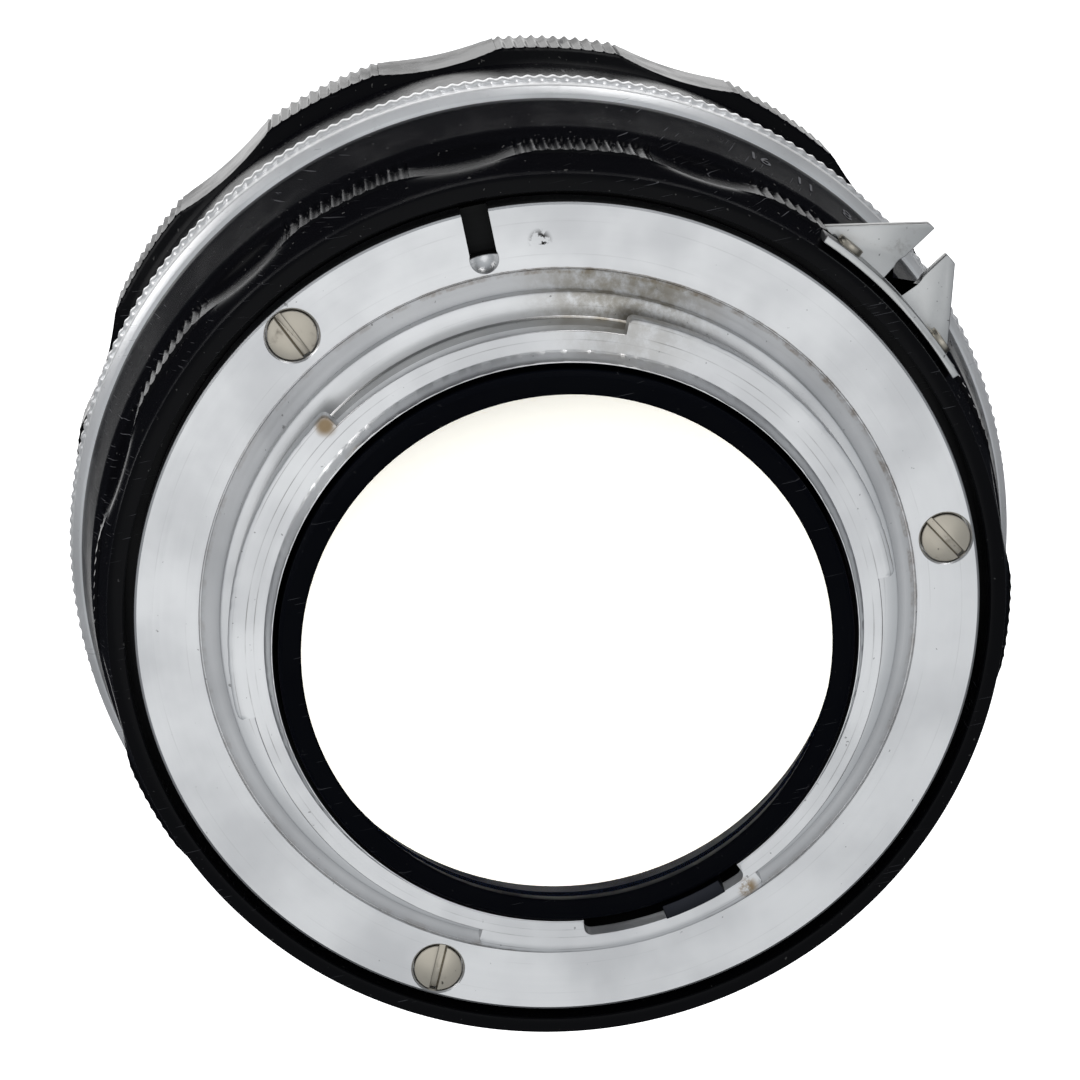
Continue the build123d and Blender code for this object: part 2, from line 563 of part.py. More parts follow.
with BuildPart() as front_spacer:
    turn((19.6, -28.5), (20.5, -28.5), (20.5, -32.45), (23.9, -32.45), (23.9, -33.15), (19.6, -33.15))
finish(front_spacer, "front_spacer")

with BuildPart() as name_ring:
    turn(
        (23.0, -37.35), (24.0, -37.35), (24.0, -37.6), (25.5, -37.6), (25.5, -42.4), (25.2, -42.6),
        (24.9, -42.6), (23.0, -38.4),
    )
finish(name_ring, "name_ring")


# ---- glass --------------------------------------------------------------------------------
def sag(curve, height):
    """Depth of a spherical surface at this height; a curve of 0 stands for a flat one."""
    return 0 if curve == 0 else curve - sqrt(curve**2 - height**2) * (1 if curve > 0 else -1)


def glass(label, radius, rear_z, rear_curve, front_z, front_curve):
    """A lens element between two vertices; a positive curve bulges out of the glass."""
    half = radius / 2
    rear_edge = (radius, rear_z - sag(rear_curve, radius))
    front_edge = (radius, front_z + sag(front_curve, radius))
    with BuildPart() as element:
        with BuildSketch(Plane.XZ):
            with BuildLine():
                if rear_curve:
                    ThreePointArc((0, rear_z), (half, rear_z - sag(rear_curve, half)), rear_edge)
                else:
                    Line((0, rear_z), rear_edge)
                Line(rear_edge, front_edge)
                if front_curve:
                    ThreePointArc(front_edge, (half, front_z + sag(front_curve, half)), (0, front_z))
                else:
                    Line(front_edge, (0, front_z))
                Line((0, front_z), (0, rear_z))
            make_face()
        revolve(axis=Axis.Z)
    finish(element, label)


glass("rear_element", REAR_BORE_R - 0.05, 6.7, 120, 1.6, 90)
glass("rear_inner_element", REAR_BORE_R - 0.05, 0.9, 150, -4.4, 90)
glass("rear_doublet_crown", 19.2, -4.7, 60, -10.6, 0)
glass("rear_doublet_flint", 19.2, -10.63, 0, -11.8, -70)
glass("front_doublet_flint", 20.55, -24.2, -62, -25.8, 0)
glass("front_doublet_crown", 20.55, -25.83, 0, -32.2, 52)
glass("front_element", 23.95, -33.2, 0, -41.2, 68)

for piece in pieces:
    export_step(piece, f"parts/{piece.label}.step")
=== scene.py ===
import json
import math

import bmesh
import bpy
import numpy as np
from mathutils import Matrix, Vector


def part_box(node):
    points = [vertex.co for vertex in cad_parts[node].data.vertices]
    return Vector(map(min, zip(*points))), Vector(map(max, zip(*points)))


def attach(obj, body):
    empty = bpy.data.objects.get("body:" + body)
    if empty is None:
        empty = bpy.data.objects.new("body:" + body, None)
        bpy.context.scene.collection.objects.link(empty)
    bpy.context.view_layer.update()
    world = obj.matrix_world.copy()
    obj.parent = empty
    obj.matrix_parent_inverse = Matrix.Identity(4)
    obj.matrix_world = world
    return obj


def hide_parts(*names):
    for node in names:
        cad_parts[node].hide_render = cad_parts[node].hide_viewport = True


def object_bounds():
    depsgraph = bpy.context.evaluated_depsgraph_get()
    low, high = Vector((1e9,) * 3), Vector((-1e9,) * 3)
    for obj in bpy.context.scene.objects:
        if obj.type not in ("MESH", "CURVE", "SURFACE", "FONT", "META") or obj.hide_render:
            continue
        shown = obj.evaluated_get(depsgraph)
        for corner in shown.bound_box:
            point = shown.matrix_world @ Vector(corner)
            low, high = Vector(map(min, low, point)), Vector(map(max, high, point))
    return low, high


# A prime camera lens seen from its mount. Lengths are in millimetres until mesh() turns them
# into metres, and angles are in degrees from +X about the optical axis, which is +Z.
# The front of the lens is at the lowest z.

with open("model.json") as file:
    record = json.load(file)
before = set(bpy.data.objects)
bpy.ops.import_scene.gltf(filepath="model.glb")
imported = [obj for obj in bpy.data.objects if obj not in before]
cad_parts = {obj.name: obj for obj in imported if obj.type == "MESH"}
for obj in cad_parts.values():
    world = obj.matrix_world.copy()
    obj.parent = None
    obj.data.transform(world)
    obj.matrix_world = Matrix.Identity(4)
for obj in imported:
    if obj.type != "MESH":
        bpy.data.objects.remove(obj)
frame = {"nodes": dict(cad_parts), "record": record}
cad_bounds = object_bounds()
scene = bpy.context.scene
MM = 0.001
TURN = 360


def outer_radius(node):
    """Largest radius of a turned CAD node, in millimetres."""
    thing = frame["nodes"][node]
    return max((thing.matrix_world @ vertex.co).xy.length for vertex in thing.data.vertices) / MM


def rear_z(node):
    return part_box(node)[1].z / MM


def front_z(node):
    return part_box(node)[0].z / MM


# ---- driving dimensions -------------------------------------------------------------------
# aperture ring
RING_SKIRT_R = outer_radius("aperture_ring")
RING_FLARE_R = RING_SKIRT_R - 1.15       # rear end of the skirt
RING_FLARE_Z = -9.3
RING_LAND_R = RING_SKIRT_R - 1.6
RING_VALLEY_R = RING_LAND_R - 0.7
RING_CONE_R = RING_LAND_R - 0.3          # where the smooth rear cone meets the knurl
RING_RIM_R = RING_SKIRT_R - 2.75
RING_RIM_FRONT = -1.15
RING_GROOVE_R = 30.95
RING_GROOVE_Z = -3.0
RING_BORE_R = 30.06
RING_FRONT = front_z("aperture_ring")
RING_KNURL = (-3.55, -8.2)
RING_FLUTES = (-7.2, -9.3)
RING_LAND_SWEEP = 8.4                    # half of a land between two flutes
RING_RIB_DEPTH = 0.28
RING_CREST = 0.4                         # rounding where a land meets a flute
FLARE_CURVE = ((0.12, 0.25), (0.24, 0.55), (0.34, 0.90), (0.41, 1.20))   # inwards and back

# bright ring
GRIP_R = outer_radius("grip_ring")
GRIP_SMOOTH_R = GRIP_R - 0.35
GRIP_EDGE_R = GRIP_R - 0.95
GRIP_STEP = -18.4                        # where the smooth part ends
GRIP_REAR = rear_z("grip_ring")
GRIP_FRONT = front_z("grip_ring")
GRIP_TEETH = 240
GRIP_TOOTH_DEPTH = 0.13

# focusing ring
FOCUS_GRIP_R = outer_radius("focus_ring")
FOCUS_BAND_R = FOCUS_GRIP_R - 1.2
FOCUS_VALLEY_R = FOCUS_GRIP_R - 0.85
FOCUS_BORE_R = 33.7
FOCUS_SLEEVE_R = 31.7                    # where the ring closes on the threaded sleeve
FOCUS_SLEEVE = (-32.4, -34.3)
FOCUS_BAND_FRONT = -30.4                 # where the scale band ends and the lands rise
FOCUS_REAR = rear_z("focus_ring")
FOCUS_FRONT = front_z("focus_ring")
FOCUS_LAND_SWEEP = 7.9
FOCUS_RIB_DEPTH = 0.26
FOCUS_CREST = 0.12
FOCUS_TRAVEL = 190                       # turn of the focusing ring, in degrees
FOCUS_EXTENSION = 6.2
FOCAL_LENGTH = 55

# both knurls
LANDS = 12
LAND_START = 15.2
RIBS = 11                                # ribs of the knurl on each land
RIB_PITCH = 0.88
KNURLED_STEPS = 2880                     # mesh steps round a knurled ring
NO_RUN_OUT = (-60, -61)                  # in front of the lens, for flutes that run right through

# bayonet mount
FLANGE_R = outer_radius("bayonet_mount")
FLANGE_T = -front_z("bayonet_mount")
STEP_R = 25.55
STEP_DEPTH = 0.12                        # the annulus round the register lies this low
STEP_GROOVE = 0.3
REGISTER_R = 24.15
REGISTER_H = 1.0
BAYONET_R = 22.35
LUG_R = 23.5
LUG_FOOT = 3.5
LUG_TOP = 5.0
LUGS = ((-90.5, -22.0), (153.2, 206.3), (33.2, 91.5))
LUG_CORNER = 0.45
LUG_CHIP = 0.05
THROAT_R = 20.4
LIP_R = 20.9
LIP_TOP = rear_z("bayonet_mount")
LIP_DENT = 0.03
LEVER_SLOT = (172.0, 205.0)
LEVER_SLOT_R = 21.6
LEVER_SLOT_CORNER = 0.6
SCREW_PITCH_R = 28.13
SCREW_ANGLES = (30, 150, 270)
COUNTERBORE_R = 1.86
COUNTERBORE_Z = -1.32
NOTCH_WIDTH = 1.9
NOTCH_DEPTH = 1.9
NOTCH_INNER_R = 27.0
NOTCH_END_R = 1.12                       # ball that cuts the notch's shallow end
INDEX_ANGLE = 270

# front barrel
BARREL_R = 33.4
BARREL_REAR = -34.6
BARREL_SEAT_R = 28.54                    # where it slides over the inner barrel
THREAD_R = 25.6
THREAD_REAR = -42.7
THREAD_PITCH = 0.75
THREAD_DEPTH = 0.34

# edges sharper than these angles stay sharp in the shading
SHARP = 32
SHARP_BEVELLED = 50


# ---- mesh tools ---------------------------------------------------------------------------
def polar(radius, angle):
    return radius * math.cos(math.radians(angle)), radius * math.sin(math.radians(angle))


def smooth(thing, sharp):
    """Shade smooth but for edges sharper than this angle, with all faces turned outwards."""
    work = bmesh.new()
    work.from_mesh(thing.data)
    bmesh.ops.recalc_face_normals(work, faces=work.faces)
    work.to_mesh(thing.data)
    work.free()
    thing.data.shade_smooth()
    thing.data.set_sharp_from_angle(angle=math.radians(sharp))


def mesh(name, points, faces):
    """An object from points in millimetres."""
    data = bpy.data.meshes.new(name)
    data.from_pydata((np.asarray(points) * MM).tolist(), [], np.asarray(faces).tolist())
    thing = bpy.data.objects.new(name, data)
    scene.collection.objects.link(thing)
    smooth(thing, SHARP)
    return thing


def even_turn(count):
    return np.arange(count) * TURN / count


def lathe(name, outline, angles, shape=None):
    """Turn a closed outline of (radius, z) points. shape(radius, z, angle) returns the final radii."""
    angles = np.asarray(angles, float)[:, None]
    outline = np.asarray(outline, float)
    radius, z = (np.broadcast_to(column, (len(angles), len(outline))) for column in outline.T)
    if shape:
        radius = shape(radius, z, angles)
    turned = np.radians(angles)
    points = np.stack((radius * np.cos(turned), radius * np.sin(turned), z), axis=-1)
    row, column = np.indices(radius.shape)
    next_row, next_column = (row + 1) % len(angles), (column + 1) % len(outline)
    width = len(outline)
    corners = (row * width + column, next_row * width + column,
               next_row * width + next_column, row * width + next_column)
    return mesh(name, points.reshape(-1, 3), np.stack(corners, axis=-1).reshape(-1, 4))


def between(start, end, count):
    """Evenly spaced outline points, without the end."""
    return [tuple(np.array(start) + (np.array(end) - start) * step / count) for step in range(count)]


def cut(thing, cutter):
    """Subtract the cutter from the thing and drop it."""
    modifier = thing.modifiers.new("cut", "BOOLEAN")
    modifier.operation = "DIFFERENCE"
    modifier.solver = "EXACT"
    modifier.object = cutter
    bpy.context.view_layer.objects.active = thing
    bpy.ops.object.modifier_apply(modifier=modifier.name)
    bpy.data.objects.remove(cutter)


def wobble(angles, seed):
    """A smooth seeded wave round the axis, from about -1 to 1."""
    waves, coarsest, finest = 24, 3, 160
    draw = np.random.default_rng(seed)
    rates = draw.integers(coarsest, finest, waves)
    phases = draw.uniform(0, TURN, waves)
    total = sum(np.cos(np.radians(rate * angles + phase)) for rate, phase in zip(rates, phases))
    return total / math.sqrt(waves) / 2


def stand_for(thing, node):
    """The thing rides on the CAD node's body and takes its place, slot and finish."""
    for body, members in frame["record"]["behaviour"]["bodies"].items():
        if node in members:
            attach(thing, body)
    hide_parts(node)
    slots = {part["node"]: part["material_slot"] for part in frame["record"]["subparts"]}
    thing.data.materials.clear()
    thing.data.materials.append(finishes[slots[node]])


def bevelled(node, width):
    """A copy of a CAD node with its edges broken, in its place."""
    weld, flat, edge_angle = 0.002, 0.5, 30
    thing = bpy.data.objects.new(node + "_finished", frame["nodes"][node].data.copy())
    scene.collection.objects.link(thing)
    work = bmesh.new()
    work.from_mesh(thing.data)
    bmesh.ops.remove_doubles(work, verts=work.verts, dist=weld * MM)
    bmesh.ops.dissolve_limit(work, angle_limit=math.radians(flat), verts=work.verts, edges=work.edges)
    manifold = [edge for edge in work.edges if edge.is_manifold]
    edges = [edge for edge in manifold if edge.calc_face_angle() > math.radians(edge_angle)]
    bmesh.ops.bevel(work, geom=edges, offset=width * MM, segments=2, profile=0.5, affect="EDGES")
    work.to_mesh(thing.data)
    work.free()
    smooth(thing, SHARP_BEVELLED)
    stand_for(thing, node)


# ---- material tools -----------------------------------------------------------------------
def is_socket(value):
    return isinstance(value, bpy.types.NodeSocket)


def put(tree, socket, value):
    """Link a socket to another, or set its value."""
    if is_socket(value):
        tree.links.new(value, socket)
    else:
        socket.default_value = value


def shader_node(tree, kind, inputs=None, **settings):
    """A shader node. Inputs are sockets to link or values to set."""
    new = tree.nodes.new("ShaderNode" + kind)
    for key, value in settings.items():
        setattr(new, key, value)
    for key, value in (inputs or {}).items():
        put(tree, new.inputs[key], value)
    return new


def calc(tree, operation, *values):
    return shader_node(tree, "Math", dict(enumerate(values)), operation=operation).outputs[0]


def product(tree, first, *others):
    for other in others:
        first = calc(tree, "MULTIPLY", first, other)
    return first


def ramp(tree, value, low, high, start=0.0, end=1.0):
    """A smooth step of the value, from start at low to end at high."""
    inputs = {"Value": value, "From Min": low, "From Max": high, "To Min": start, "To Max": end}
    return shader_node(tree, "MapRange", inputs, interpolation_type="SMOOTHSTEP").outputs["Result"]


def band(tree, value, low, high, soft):
    """1 between low and high, and 0 outside."""
    return product(tree, ramp(tree, value, low - soft, low), ramp(tree, value, high + soft, high))


def noise(tree, vector, scale, detail=3, roughness=0.5):
    inputs = {"Vector": vector, "Scale": scale, "Detail": detail, "Roughness": roughness}
    return shader_node(tree, "TexNoise", inputs).outputs["Fac"]


def blend(tree, factor, first, second):
    """Mix two colours."""
    new = shader_node(tree, "Mix", {"Factor": factor}, data_type="RGBA")
    for socket, colour in ((new.inputs[6], first), (new.inputs[7], second)):
        put(tree, socket, colour if is_socket(colour) else (*colour, 1))
    return new.outputs[2]


class Finish:
    """A Principled material with the coordinates that turned parts need."""

    def __init__(self, name, roughness, metallic=1.0):
        self.material = bpy.data.materials.new(name)
        self.material.use_nodes = True
        self.tree = self.material.node_tree
        self.bsdf = self.tree.nodes["Principled BSDF"]
        self.bsdf.inputs["Metallic"].default_value = metallic
        self.place = shader_node(self.tree, "TexCoord").outputs["Object"]
        self.x, self.y, self.z = shader_node(self.tree, "SeparateXYZ", {0: self.place}).outputs
        x_squared = calc(self.tree, "POWER", self.x, 2.0)
        y_squared = calc(self.tree, "POWER", self.y, 2.0)
        self.radius = calc(self.tree, "SQRT", calc(self.tree, "ADD", x_squared, y_squared))
        self.rough = roughness
        self.height = None

    def turned(self):
        """Fine lines left by the lathe: they change along radius and z, and hardly round the axis."""
        slow_x = product(self.tree, self.x, 0.012)
        slow_y = product(self.tree, self.y, 0.012)
        along = calc(self.tree, "ADD", self.z, slow_y)
        vector = shader_node(self.tree, "CombineXYZ", {0: self.radius, 1: slow_x, 2: along})
        return noise(self.tree, vector.outputs[0], 5200, 4, 0.7)

    def scratches(self, direction, amount, scale=260):
        """Thin lines across x, in a pattern that depends on the direction. More amount gives more."""
        thin = 45
        turn = (0.3, 0.5, math.radians(direction))
        inputs = {"Vector": self.place, "Rotation": turn, "Scale": (thin, 1, 1)}
        stretched = shader_node(self.tree, "Mapping", inputs).outputs[0]
        lines = noise(self.tree, stretched, scale, 1, 0.4)
        where = noise(self.tree, self.place, 90, 2)
        # the lines lie across x, so they would open into blots on walls that face along x
        aside = calc(self.tree, "DIVIDE", calc(self.tree, "ABSOLUTE", self.y), self.radius)
        thinned = product(self.tree, ramp(self.tree, where, 0.45, 0.6), ramp(self.tree, aside, 0.15, 0.35))
        return product(self.tree, ramp(self.tree, lines, 0.74 - amount, 0.76 - amount), thinned)

    def specks(self, scale, low, high, strength):
        """Tiny spots."""
        spots = noise(self.tree, self.place, scale, 2)
        return product(self.tree, ramp(self.tree, spots, low, high), strength)

    def near(self, radius, angle, z, outer, inner):
        """1 close to a point and 0 away from it."""
        x, y = polar(radius, angle)
        point = (x * MM, y * MM, z * MM)
        away = shader_node(self.tree, "VectorMath", {0: self.place, 1: point}, operation="DISTANCE")
        return ramp(self.tree, away.outputs["Value"], outer * MM, inner * MM)

    def rougher(self, mask, amount):
        self.rough = calc(self.tree, "ADD", self.rough, product(self.tree, mask, amount))

    def raise_by(self, mask, depth):
        """Add to the surface height, in millimetres."""
        step = product(self.tree, mask, depth * MM)
        self.height = step if self.height is None else calc(self.tree, "ADD", self.height, step)

    def done(self, colour):
        """Join colour, roughness and height to the shader."""
        put(self.tree, self.bsdf.inputs["Base Color"], colour)
        put(self.tree, self.bsdf.inputs["Roughness"], self.rough)
        if self.height:
            inputs = {"Height": self.height, "Distance": 1.0, "Strength": 1.0}
            put(self.tree, self.bsdf.inputs["Normal"], shader_node(self.tree, "Bump", inputs).outputs[0])
        return self.material


# ---- materials ----------------------------------------------------------------------------
GRIME = (0.16, 0.13, 0.10)
BLACK_DIRT = (0.02, 0.018, 0.016)
TARNISH = 0.84                           # tarnished metal is this much darker
CHROME = (0.90, 0.90, 0.90)
CHROME_DULL = (0.76, 0.76, 0.765)
CHROME_ANNULUS = (0.42, 0.42, 0.43)
# painted shadow: grey for the tube wall under the lugs
LUG_SHADOW_GREY = (0.20, 0.20, 0.195)
STEP_DIRT = (0.26, 0.20, 0.15)
GREASE = (0.24, 0.20, 0.13)
WEAR_DARK = (0.12, 0.11, 0.10)
WORN_BRASS = (0.42, 0.31, 0.19)
# painted shade: black for the notch's channel and the lever slot
HOLE_SHADE_BLACK = (0.004, 0.004, 0.004)
HAIRLINE = (0.25, 0.25, 0.27)
DUST = (0.45, 0.44, 0.42)
WORN_PAINT = (0.2, 0.2, 0.19)
COATING = (0.08, 0.11, 0.24, 1)
GLASS_INDEX = 1.7
WEAR_LINES = ((21.7, 0.55), (22.28, 0.7), (23.2, 0.4), (26.6, 0.12), (28.9, 0.12))   # radius, strength
BRASS_SPOTS = (34.5, 203.5)              # angles of the lug ends that are worn through
SMUDGE = (27.6, -8.4)                    # radius and angle
STAIN = (24.6, -22)


def turned_metal(name, colour, roughness, lines=0.10, dirt=0.35, specks=0.3, metallic=1.0):
    """Machined metal: lathe lines, cloudy tarnish, grime and dark specks."""
    finish = Finish(name, roughness, metallic)
    tree = finish.tree
    turning = finish.turned()
    cloud = noise(tree, finish.place, 130, 4)
    grime = product(tree, ramp(tree, noise(tree, finish.place, 420, 6, 0.65), 0.56, 0.78), dirt)
    finish.rougher(turning, lines)
    finish.rougher(grime, 0.35)
    finish.rougher(finish.scratches(35, 0.02), -0.08)
    finish.raise_by(turning, 0.0022)
    finish.raise_by(cloud, 0.004)
    dull = tuple(TARNISH * channel for channel in colour)
    base = blend(tree, ramp(tree, cloud, 0.35, 0.68), colour, dull)
    base = blend(tree, grime, base, GRIME)
    return finish.done(blend(tree, finish.specks(2600, 0.70, 0.76, specks), base, BLACK_DIRT))


def mount_grime_and_shadow(finish, base, patches):
    """Dull annulus and dirty step round the register, painted shadow on the tube wall, and grease beside the
    notch.
    """
    tree = finish.tree
    low = ramp(tree, finish.z, 0.10 * MM, 0.02 * MM)
    sunk = band(tree, finish.radius, (REGISTER_R - 0.05) * MM, (STEP_R - 0.05) * MM, 0.05 * MM)
    annulus = product(tree, sunk, low)
    base = blend(tree, product(tree, annulus, 0.45), base, CHROME_ANNULUS)
    finish.rougher(annulus, 0.12)
    step_band = band(tree, finish.radius, (STEP_R - 0.25) * MM, (STEP_R + 0.07) * MM, 0.15 * MM)
    step = product(tree, step_band, low)
    side = ramp(tree, calc(tree, "SUBTRACT", finish.x, finish.y), 8 * MM, 34 * MM)
    smear = product(tree, step, ramp(tree, patches, 0.40, 0.70))
    base = blend(tree, product(tree, smear, ramp(tree, side, 0, 1, 0.25, 0.8)), base, STEP_DIRT)
    # painted shadow: the tube wall between the register and the lugs' feet is darkened as the shade under the
    # lugs
    tube = ramp(tree, finish.radius, (BAYONET_R + 0.35) * MM, (BAYONET_R + 0.15) * MM)
    under_lug_shadow_height = band(tree, finish.z, (REGISTER_H + 0.05) * MM, (LUG_FOOT - 0.1) * MM, 0.05 * MM)
    base = blend(tree, product(tree, under_lug_shadow_height, tube, 0.7), base, LUG_SHADOW_GREY)
    stain = product(tree, finish.near(*STAIN, 0, 9, 2), ramp(tree, patches, 0.30, 0.62))
    inside_step = ramp(tree, finish.radius, (STEP_R + 0.15) * MM, (STEP_R - 0.15) * MM)
    return blend(tree, product(tree, stain, inside_step, 0.7), base, GREASE)


def mount_wear(finish, base, patches):
    """Dark lines left by the camera's bayonet, brass at two lug ends, a black smudge and pits."""
    tree = finish.tree
    for line_r, strength in WEAR_LINES:
        line = band(tree, finish.radius, (line_r - 0.02) * MM, (line_r + 0.02) * MM, 0.03 * MM)
        broken = ramp(tree, noise(tree, finish.place, 90 + 5 * line_r, 5), 0.38, 0.72)
        base = blend(tree, product(tree, line, broken, strength), base, WEAR_DARK)
    for angle in BRASS_SPOTS:
        lug_end = finish.near(LUG_R - 0.6, angle, LUG_TOP - 0.1, 1.0, 0.3)
        worn = product(tree, lug_end, ramp(tree, patches, 0.38, 0.52))
        base = blend(tree, worn, base, WORN_BRASS)
        finish.rougher(worn, 0.15)
    smudge = product(tree, finish.near(*SMUDGE, 0, 0.95, 0.3), ramp(tree, patches, 0.49, 0.53))
    marks = calc(tree, "MAXIMUM", smudge, finish.specks(1900, 0.735, 0.77, 0.5))
    return blend(tree, marks, base, BLACK_DIRT)


def mount_painted_hole_shade(finish):
    """1 inside the notch's channel and the lever slot, painted black as the shade of deep holes, and 0
    elsewhere.
    """
    tree = finish.tree
    half = NOTCH_WIDTH / 2 + 0.03
    across = band(tree, finish.y, -half * MM, half * MM, 0.01 * MM)
    outside = ramp(tree, finish.x, (NOTCH_INNER_R - 0.1) * MM, NOTCH_INNER_R * MM)
    channel = product(tree, across, outside, ramp(tree, finish.z, -0.03 * MM, -0.1 * MM))
    x, y = polar(1, sum(LEVER_SLOT) / 2)
    along_middle = calc(tree, "ADD", product(tree, finish.x, x), product(tree, finish.y, y))
    towards = calc(tree, "DIVIDE", along_middle, finish.radius)
    reach = math.cos(math.radians(LEVER_SLOT[1] - LEVER_SLOT[0]) / 2)
    within = ramp(tree, finish.radius, (LEVER_SLOT_R + 0.06) * MM, (LEVER_SLOT_R + 0.03) * MM)
    below = ramp(tree, finish.z, (LUG_TOP - 0.07) * MM, (LUG_TOP - 0.1) * MM)
    slot = product(tree, within, ramp(tree, towards, reach - 0.0005, reach), below)
    return calc(tree, "MAXIMUM", channel, slot)


def mount_chrome():
    """Satin chrome of the bayonet, with lathe lines, cloudy tarnish, grime, wear and painted shade."""
    finish = Finish("bright_chrome", 0.26)
    tree = finish.tree
    turning = finish.turned()
    cloud = noise(tree, finish.place, 95, 4)
    patches = noise(tree, finish.place, 700, 6, 0.7)
    finish.rougher(turning, 0.12)
    finish.rougher(ramp(tree, cloud, 0.4, 0.7), 0.07)
    finish.raise_by(turning, 0.0026)
    finish.raise_by(cloud, 0.006)
    base = blend(tree, ramp(tree, cloud, 0.35, 0.7), CHROME, CHROME_DULL)
    base = mount_grime_and_shadow(finish, base, patches)
    base = mount_wear(finish, base, patches)
    # painted shade: the channel and the slot are black and not metal, as if they were deep dark holes
    hole_shade_mask = mount_painted_hole_shade(finish)
    finish.rougher(hole_shade_mask, 0.4)
    tree.links.new(calc(tree, "SUBTRACT", 1.0, hole_shade_mask), finish.bsdf.inputs["Metallic"])
    return finish.done(blend(tree, hole_shade_mask, base, HOLE_SHADE_BLACK))


def enamel(name, roughness, scratched, dust, specular, colour):
    """Black paint with hairline scratches, smears and dust."""
    finish = Finish(name, roughness, metallic=0.0)
    finish.bsdf.inputs["Specular IOR Level"].default_value = specular
    tree = finish.tree
    smear = ramp(tree, noise(tree, finish.place, 160, 5, 0.6), 0.4, 0.75)
    lines = calc(tree, "MAXIMUM", finish.scratches(20, scratched), finish.scratches(-50, scratched, 340))
    finish.rougher(smear, 0.16)
    finish.rougher(lines, 0.25)
    finish.raise_by(noise(tree, finish.place, 900, 3), 0.004)
    base = blend(tree, product(tree, lines, 0.35), colour, HAIRLINE)
    return finish.done(blend(tree, finish.specks(2300, 0.70, 0.75, dust), base, DUST))


def coated_glass():
    """Polished glass with one blue coating. Lamps reach the floor through it."""
    material = bpy.data.materials.new("coated_glass")
    material.use_nodes = True
    tree = material.node_tree
    glass = tree.nodes["Principled BSDF"]
    glass.inputs["Base Color"].default_value = (1, 1, 1, 1)
    glass.inputs["Transmission Weight"].default_value = 1.0
    glass.inputs["IOR"].default_value = GLASS_INDEX
    glass.inputs["Roughness"].default_value = 0.0
    glass.inputs["Specular Tint"].default_value = COATING
    clear = shader_node(tree, "BsdfTransparent").outputs[0]
    is_shadow = shader_node(tree, "LightPath").outputs["Is Shadow Ray"]
    mix = shader_node(tree, "MixShader", {0: is_shadow, 1: glass.outputs[0], 2: clear})
    tree.links.new(mix.outputs[0], tree.nodes["Material Output"].inputs["Surface"])
    return material


def paint(name, colour):
    """Paint filled into engraved marks, slightly worn."""
    finish = Finish(name, 0.45, metallic=0.0)
    worn = ramp(finish.tree, noise(finish.tree, finish.place, 2600, 3), 0.5, 0.75)
    finish.rougher(worn, 0.2)
    return finish.done(blend(finish.tree, product(finish.tree, worn, 0.5), colour, WORN_PAINT))


finishes = {
    "bright_chrome": mount_chrome(),
    "nickel_screw": turned_metal("nickel_screw", (0.62, 0.57, 0.48), 0.30, lines=0.05, dirt=0.85, specks=0.8),
    "satin_nickel": turned_metal("satin_nickel", (0.76, 0.76, 0.75), 0.38, lines=0.04, dirt=0.55, specks=0.7),
    "satin_aluminium": turned_metal(
        "satin_aluminium", (0.97, 0.97, 0.975), 0.30, lines=0.03, dirt=0.10, specks=0.1, metallic=0.55,
    ),
    "black_enamel": enamel("black_enamel", 0.17, 0.004, 0.15, 0.09, (0.003, 0.003, 0.004)),
    "black_matt": enamel("black_matt", 0.55, -0.02, 0.02, 0.05, (0.0015, 0.002, 0.004)),
    "name_ring_black": enamel("name_ring_black", 0.35, 0.0, 0.1, 0.16, (0.004, 0.005, 0.006)),
    "dull_aluminium": turned_metal("dull_aluminium", (0.62, 0.62, 0.63), 0.42),
    "brass": turned_metal("brass", (0.72, 0.52, 0.24), 0.34),
    "dark_steel": turned_metal("dark_steel", (0.035, 0.037, 0.045), 0.42, lines=0.05, dirt=0.2, specks=0.1),
    "spring_steel": turned_metal("spring_steel", (0.55, 0.55, 0.56), 0.28),
    "blade_steel": turned_metal("blade_steel", (0.07, 0.07, 0.08), 0.40, lines=0.03, dirt=0.1, specks=0.05),
    "index_paint": paint("index_paint", (0.72, 0.14, 0.03)),
    "coated_glass": coated_glass(),
}
numeral_white = paint("numeral_white", (0.75, 0.74, 0.68))
numeral_worn = paint("numeral_worn", (0.10, 0.10, 0.11))


# ---- carried-over CAD nodes ---------------------------------------------------------------
for part in frame["record"]["subparts"]:
    carried = frame["nodes"][part["node"]].data
    carried.materials.clear()
    carried.materials.append(finishes[part["material_slot"]])


# ---- the two knurled rings ----------------------------------------------------------------
def soft_minimum(first, second, soft):
    """The lower of two, rounded where they meet."""
    share = np.clip(0.5 + 0.5 * (second - first) / soft, 0, 1)
    return second * (1 - share) + first * share - soft * share * (1 - share)


